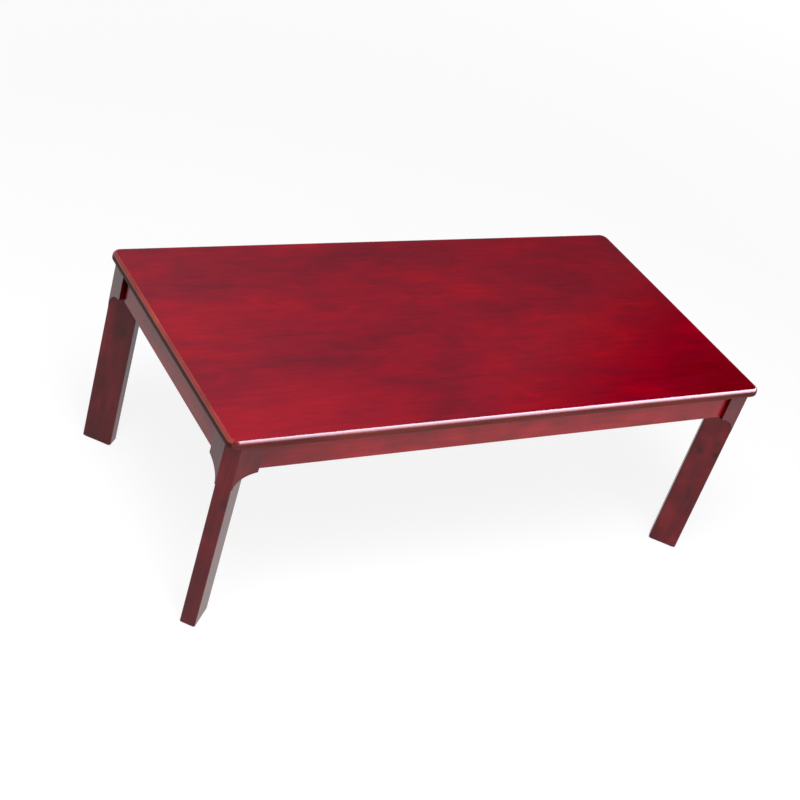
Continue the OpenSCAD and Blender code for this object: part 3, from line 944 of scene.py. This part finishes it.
def brace_screw_places():
    """Two screws at each end of each brace, outwards through the apron at the middle of its bearing."""
    edge = np.array([HALF_L, HALF_W])
    face, far = BRACE[0, 0] + HALF_L, BRACE[1, 0] + HALF_L
    middle = far - BRACE_T / math.sqrt(2)
    head = face + SCREW_SEAT + HEAD_H
    places = []
    for sign in CORNERS.values():
        for along in (0, 1):
            inset = np.array([middle, head] if along == 0 else [head, middle])
            out = np.array([0, sign[1], 0] if along == 0 else [sign[0], 0, 0])
            for lift in (-SCREW_LIFT, SCREW_LIFT):
                places.append((np.array([*(np.array(sign) * (edge - inset)), BOLT_Z + lift]), out))
    return places


cleat_t = UNDER_TOP - box_of("cleat_left")[0, 2]
turned_piece("screws_in_cleats", screw(cleat_t + SCREW_BITE), False, cleat_screw_places(), ZINC,
             "zinc_steel", "top_screws")
turned_piece("screws_in_braces", screw(SCREW_SEAT + HEAD_H + SCREW_BITE), False, brace_screw_places(),
             ZINC, "zinc_steel", "brace_screws")
print(len(cleat_screw_places()), "cleat screws,", len(brace_screw_places()), "brace screws")

# %% [markdown]
# # Hanger bolts, washers and nuts
# A hanger bolt is a wood screw at one end and a machine screw at the other. It is screwed into the
# leg, passes through the brace and takes a stamped washer and a hexagon nut, which pull the leg's
# head into the corner. The nut is a hexagonal prism less a cone at both ends, so its radius at each
# place is the smaller of the two.

# %% Bolts, washers and nuts
BOLT_R = 4 * MM
BOLT_IN = 30 * MM
BOLT_PAST = 5 * MM
WOOD_PITCH, WOOD_CORE, WOOD_THREAD = 3.2 * MM, 2.9 * MM, 1.05 * MM
FINE_PITCH, FINE_CORE, FINE_THREAD = 1.25 * MM, 3.28 * MM, 0.68 * MM
SHANK_R = 3.55 * MM
WASHER_T = 1.6 * MM
NUT_H, NUT_FLATS = 6.5 * MM, 13 * MM
NUT_BORE, NUT_LEAD = 4.07 * MM, 0.53 * MM


def hanger_bolt():
    """A wood thread with a taper point, a plain shank, then a fine thread with a chamfered end."""
    cols = 32
    length = BOLT_IN + BRACE_T + WASHER_T + NUT_H + BOLT_PAST
    wood_end, fine_start = 26.5 * MM, 31 * MM
    coarse_rows = np.arange(0, wood_end, WOOD_PITCH / 12)
    fine_rows = np.arange(fine_start + 0.1 * MM, length - 0.05 * MM, FINE_PITCH / 8)
    h = np.array([*coarse_rows, wood_end + 0.2 * MM, fine_start, *fine_rows, length])[:, None]
    wood = np.minimum(WOOD_CORE, 0.35 * MM + h * 0.42)
    wood = wood + thread(h, cols, WOOD_PITCH, WOOD_THREAD, -1 * MM, wood_end)
    fine = FINE_CORE + thread(h, cols, FINE_PITCH, FINE_THREAD, fine_start, length + 2 * MM)
    r = np.where(h < wood_end, wood, np.where(h < fine_start, SHANK_R, fine))
    point = 0.5 * MM + h * 3.5 / 8
    chamfer = BOLT_R - np.clip(h - (length - 1 * MM), 0, None)
    return spun(np.minimum(np.minimum(r, point), chamfer) - 0.02 * MM, h)


def washer():
    """Closed outline of a stamped ring: rounded where the punch went in, square where it came out."""
    outline = np.array([(4.45, 0), (9.6, 0), (9.88, 0.08), (10, 0.35), (10, 1.52), (9.92, 1.6),
                        (4.28, 1.6), (4.2, 1.52), (4.2, 0.25), (4.28, 0.07)]) * MM
    return spun(np.repeat(outline[:, :1], 64, axis=1), outline[:, 1:])


def nut():
    """min(hexagon, cone) outside, and a bore with a 45 degree lead-in at both ends."""
    cols = 72
    a = angles(cols)
    sixth = math.pi / 3
    hexagon = NUT_FLATS / 2 / np.cos((a + sixth / 2) % sixth - sixth / 2)
    rise = np.linspace(0, 0.62 * MM, 6)
    h = np.concatenate([rise, [NUT_H / 2], NUT_H - rise[::-1]])
    cone = NUT_FLATS / 2 + np.minimum(h, NUT_H - h) * math.sqrt(3)
    outside = np.minimum(hexagon[None], cone[:, None])
    wide = NUT_BORE + NUT_LEAD
    bore = np.array([(wide, NUT_H), (NUT_BORE, NUT_H - NUT_LEAD), (NUT_BORE, NUT_LEAD), (wide, 0)])
    radius = np.concatenate([outside, np.repeat(bore[:, :1], cols, axis=1)])
    return spun(radius, np.concatenate([h, bore[:, 1]])[:, None])


for corner, (sx, sy) in CORNERS.items():
    inward = (-sx, -sy, 0)
    for name, shape, closed, start, node in (
            ("threaded_bolt_", hanger_bolt(), False, -BOLT_IN, "hanger_bolt_"),
            ("stamped_washer_", washer(), True, BRACE_T, "washer_"),
            ("hexagon_nut_", nut(), True, BRACE_T + WASHER_T, "nut_")):
        at = at_corner(np.array(LEG_W + start), np.array(0.0), np.array(BOLT_Z), corner)
        turned_piece(name + corner, shape, closed, [(at, inward)], ZINC, "zinc_steel", node + corner)
print("four bolts, washers and nuts")

# %% [markdown]
# # Dowels
# Ready-made dowels have pressed flutes, which let the glue rise, and chamfered ends. They join the
# centre rail to the long aprons, two at each end.

# %% Dowels
DOWEL_R, DOWEL_L = 4 * MM, 32 * MM
FLUTES, FLUTE_DEPTH = 16, 0.3 * MM
CHAMFER = 0.7 * MM


def dowel():
    """Radius less flute depth times ((1 + cos(16 a)) / 2) cubed, with a chamfer at both ends."""
    flute = FLUTE_DEPTH * ((1 + np.cos(FLUTES * angles(FLUTES * 8))) / 2) ** 3
    h = np.array([0, CHAMFER, DOWEL_L - CHAMFER, DOWEL_L])[:, None]
    drawn_in = np.array([CHAMFER, 0, 0, CHAMFER])[:, None]
    return spun(DOWEL_R - drawn_in - flute[None], h)


low, high = box_of("rail_dowels")
dowel_places = []
for z in (low[2] + DOWEL_R, high[2] - DOWEL_R):
    for y in (low[1], high[1] - DOWEL_L):
        dowel_places.append((np.array([0, y, z]), (0, 1, 0)))
turned_piece("fluted_dowels", dowel(), False, dowel_places, BEECH, "dowel_beech", "rail_dowels")
print(len(dowel_places), "dowels")

# %% [markdown]
# # Felt pads
# Under each foot a pad of pressed felt is glued on, a little smaller than the foot. Its edge was cut
# with scissors, so the fibres stand out unevenly: two waves round the outline draw it in and out by
# a tenth of a millimetre.

# %% Pads
PAD_INSET = 2 * MM
PAD_ROUND = 2.5 * MM
UNEVEN = 0.06 * MM


def felt_pad(corner):
    """Rounded rectangles stacked in z, plus two sine waves round the outline that shift with z."""
    low, high = box_of("foot_pad_" + corner)
    z = np.array([0.0, 0.12, 0.45, 1.0, 1.55, 1.88, 2.0]) / 2 * (high[2] - low[2])
    drawn_in = np.array([0.5, 0.22, 0.08, 0.05, 0.08, 0.22, 0.5]) * MM
    r = PAD_ROUND
    hu, hv = LEG_W / 2 - PAD_INSET - r, LEG_T / 2 - PAD_INSET - r
    line = np.linspace(-1, 1, 40)[:-1]
    parts = [arc(hu, hv, r, 0, 90, 8), np.stack([-line * hu, 0 * line + hv + r], -1)[1:],
             arc(-hu, hv, r, 90, 180, 8), arc(-hu, -hv, r, 180, 270, 8),
             np.stack([line * hu, 0 * line - hv - r], -1)[1:], arc(hu, -hv, r, 270, 360, 8)]
    ring = np.concatenate(parts)
    away = ring / np.linalg.norm(ring, axis=1)[:, None]
    k = np.arange(len(ring))[None, :] * 2 * np.pi / len(ring)
    rows = np.arange(len(z))[:, None]
    wander = UNEVEN * (np.sin(23 * k + 2.1 * rows) + np.sin(37 * k - 1.3 * rows) - 2)
    outline = ring[None] + away[None] * (wander - drawn_in[:, None])[..., None]
    heights = np.broadcast_to(z[:, None], outline.shape[:2])
    points = at_corner(outline[..., 0] + LEG_W / 2, outline[..., 1], heights, corner)
    faces = outward(tube_faces(*points.shape[:2]), corner)
    finish_piece(put_mesh("felt_" + corner, points, faces, [FELT]), "felt", "foot_pad_" + corner)


for corner in CORNERS:
    felt_pad(corner)
print("four pads")
